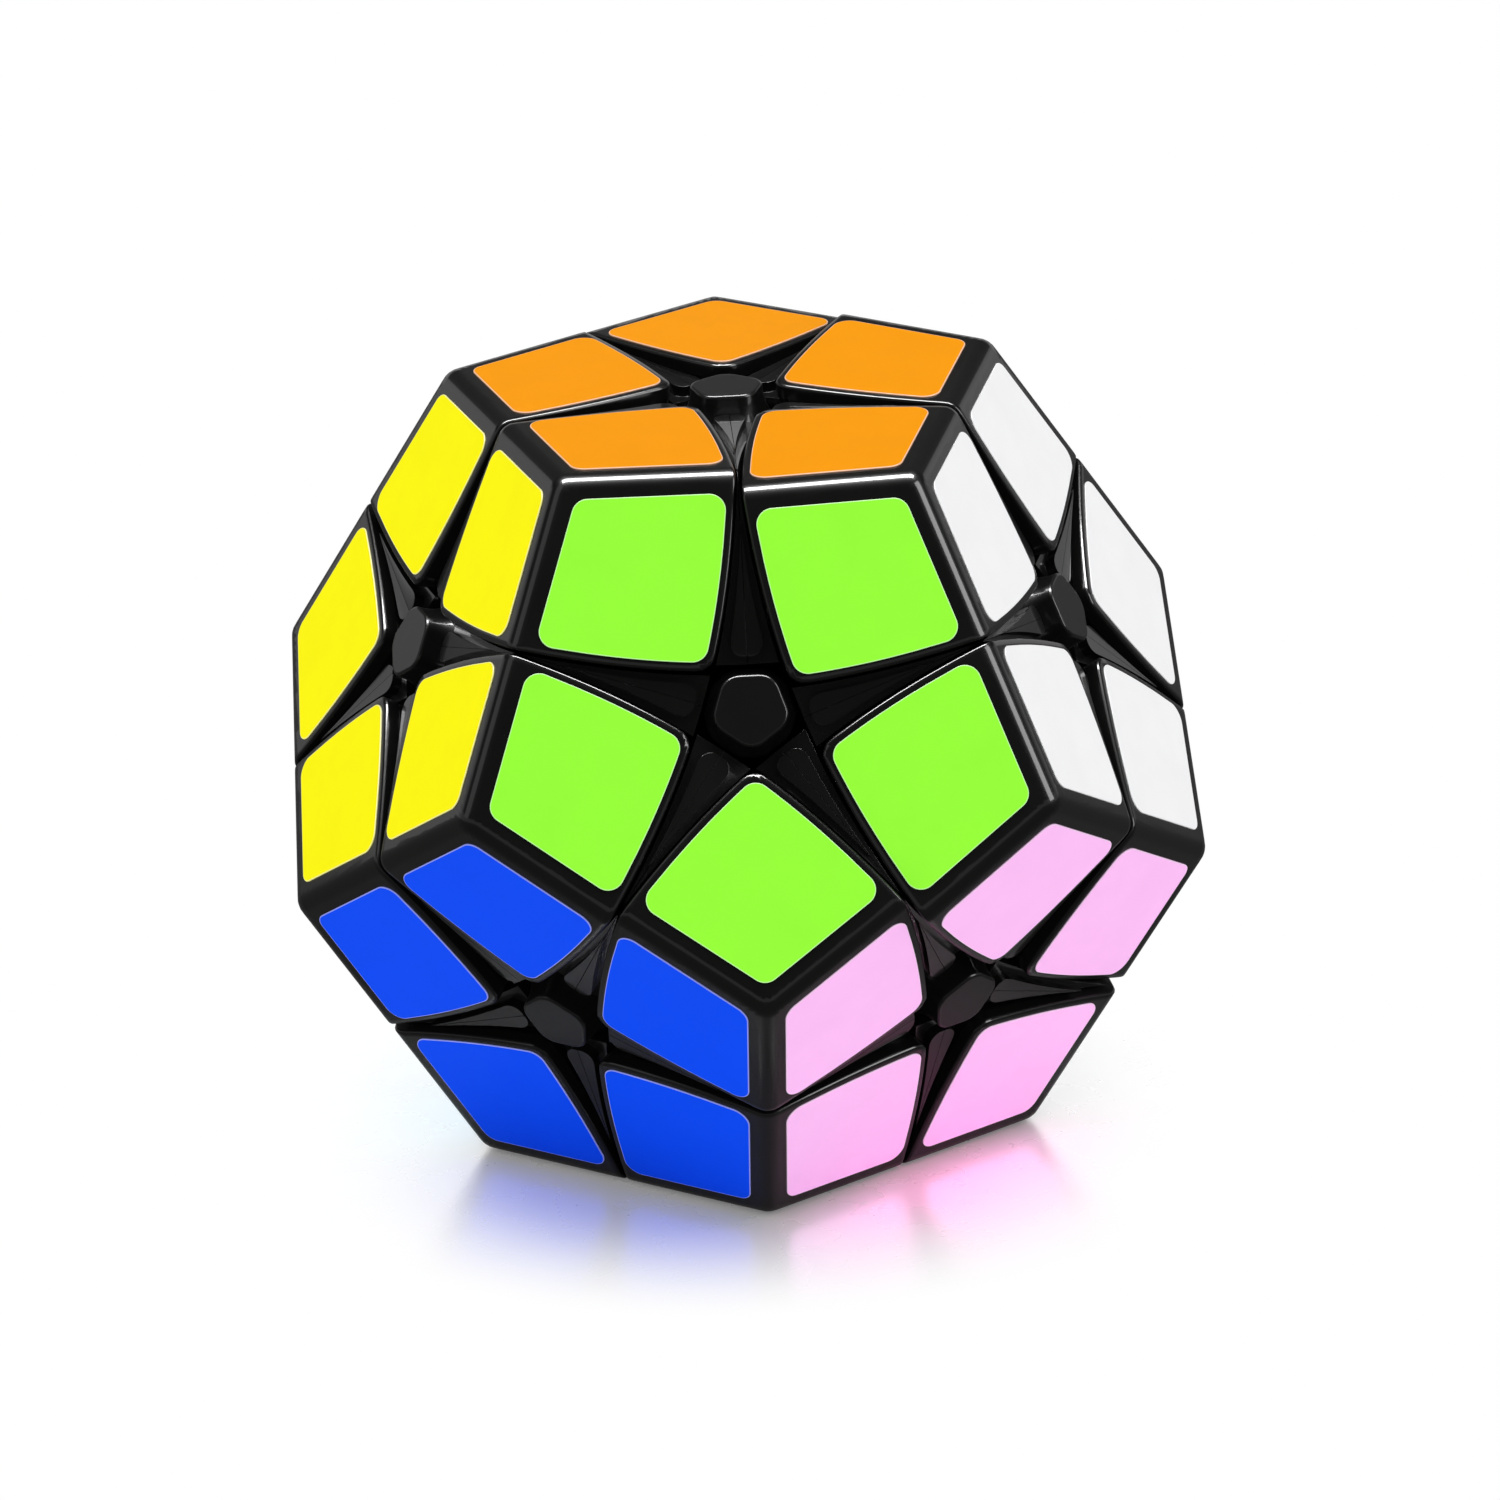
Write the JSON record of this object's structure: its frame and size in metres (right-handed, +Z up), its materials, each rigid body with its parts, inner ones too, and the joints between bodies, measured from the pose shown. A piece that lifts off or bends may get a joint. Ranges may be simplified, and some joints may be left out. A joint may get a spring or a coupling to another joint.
{
  "type": "dodecahedron twisty puzzle",
  "caption": "Twelve-sided twisty puzzle with coloured kite stickers on glossy black corner tiles, recessed star-shaped edge ribs, small pentagon centre caps and turning layers.",
  "frame": {"origin": "middle of the resting face, where its stickers touch the table, straight under the puzzle's middle", "axes": "+Z up through the top face, -Y towards the front face's side, +X to the right as seen from the front"},
  "size_m": [0.0847, 0.088, 0.0735],
  "materials": {
    "core_plastic": "satin",
    "steel": "satin",
    "spring_steel": "satin",
    "black_plastic": "gloss",
    "sticker_vinyl": "gloss"
  },
  "bodies": {
    "frame": {"core": "core_plastic", "screws": "steel", "washers": "steel", "springs": "spring_steel", "corner_top_c": "black_plastic", "corner_low_a": "black_plastic", "corner_bottom_a": "black_plastic", "corner_bottom_b": "black_plastic", "corner_bottom_e": "black_plastic", "frame_edges_a": "black_plastic", "frame_edges_b": "black_plastic", "frame_stickers": "sticker_vinyl"},
    "right_layer": {"centre_right": "black_plastic", "cap_right": "black_plastic", "corner_top_a": "black_plastic", "corner_top_b": "black_plastic", "corner_high_a": "black_plastic", "corner_high_b": "black_plastic", "corner_low_b": "black_plastic", "right_edges_a": "black_plastic", "right_edges_b": "black_plastic", "right_stickers": "sticker_vinyl"},
    "left_layer": {"centre_left": "black_plastic", "cap_left": "black_plastic", "corner_top_d": "black_plastic", "corner_top_e": "black_plastic", "corner_high_d": "black_plastic", "corner_high_e": "black_plastic", "corner_low_e": "black_plastic", "left_edges_a": "black_plastic", "left_edges_b": "black_plastic", "left_stickers": "sticker_vinyl"},
    "back_layer": {"centre_low_back": "black_plastic", "cap_low_back": "black_plastic", "corner_high_c": "black_plastic", "corner_low_c": "black_plastic", "corner_low_d": "black_plastic", "corner_bottom_c": "black_plastic", "corner_bottom_d": "black_plastic", "back_edges_a": "black_plastic", "back_edges_b": "black_plastic", "back_stickers": "sticker_vinyl"},
    "top_centre": {"centre_top": "black_plastic", "cap_top": "black_plastic"},
    "front_centre": {"centre_front": "black_plastic", "cap_front": "black_plastic"},
    "back_right_centre": {"centre_back_right": "black_plastic", "cap_back_right": "black_plastic"},
    "back_left_centre": {"centre_back_left": "black_plastic", "cap_back_left": "black_plastic"},
    "low_right_centre": {"centre_low_right": "black_plastic", "cap_low_right": "black_plastic"},
    "low_right_back_centre": {"centre_low_right_back": "black_plastic", "cap_low_right_back": "black_plastic"},
    "low_left_back_centre": {"centre_low_left_back": "black_plastic", "cap_low_left_back": "black_plastic"},
    "low_left_centre": {"centre_low_left": "black_plastic", "cap_low_left": "black_plastic"},
    "bottom_centre": {"centre_bottom": "black_plastic", "cap_bottom": "black_plastic"}
  },
  "joints": [
    {"name": "right_layer_turn", "type": "hinge", "parent": "frame", "child": "right_layer", "pos_m": [0, 0, 0.03612], "axis": [0.8507, -0.2764, 0.4472], "continuous": true},
    {"name": "left_layer_turn", "type": "hinge", "parent": "frame", "child": "left_layer", "pos_m": [0, 0, 0.03612], "axis": [-0.8507, -0.2764, 0.4472], "continuous": true},
    {"name": "back_layer_turn", "type": "hinge", "parent": "frame", "child": "back_layer", "pos_m": [0, 0, 0.03612], "axis": [0, 0.8944, -0.4472], "continuous": true},
    {"name": "top_centre_spin", "type": "hinge", "parent": "frame", "child": "top_centre", "pos_m": [0, 0, 0.03612], "axis": [0, 0, 1], "continuous": true},
    {"name": "front_centre_spin", "type": "hinge", "parent": "frame", "child": "front_centre", "pos_m": [0, 0, 0.03612], "axis": [0, -0.8944, 0.4472], "continuous": true},
    {"name": "back_right_centre_spin", "type": "hinge", "parent": "frame", "child": "back_right_centre", "pos_m": [0, 0, 0.03612], "axis": [0.5257, 0.7236, 0.4472], "continuous": true},
    {"name": "back_left_centre_spin", "type": "hinge", "parent": "frame", "child": "back_left_centre", "pos_m": [0, 0, 0.03612], "axis": [-0.5257, 0.7236, 0.4472], "continuous": true},
    {"name": "low_right_centre_spin", "type": "hinge", "parent": "frame", "child": "low_right_centre", "pos_m": [0, 0, 0.03612], "axis": [0.5257, -0.7236, -0.4472], "continuous": true},
    {"name": "low_right_back_centre_spin", "type": "hinge", "parent": "frame", "child": "low_right_back_centre", "pos_m": [0, 0, 0.03612], "axis": [0.8507, 0.2764, -0.4472], "continuous": true},
    {"name": "low_left_back_centre_spin", "type": "hinge", "parent": "frame", "child": "low_left_back_centre", "pos_m": [0, 0, 0.03612], "axis": [-0.8507, 0.2764, -0.4472], "continuous": true},
    {"name": "low_left_centre_spin", "type": "hinge", "parent": "frame", "child": "low_left_centre", "pos_m": [0, 0, 0.03612], "axis": [-0.5257, -0.7236, -0.4472], "continuous": true},
    {"name": "bottom_centre_spin", "type": "hinge", "parent": "frame", "child": "bottom_centre", "pos_m": [0, 0, 0.03612], "axis": [0, 0, -1], "continuous": true}
  ]
}
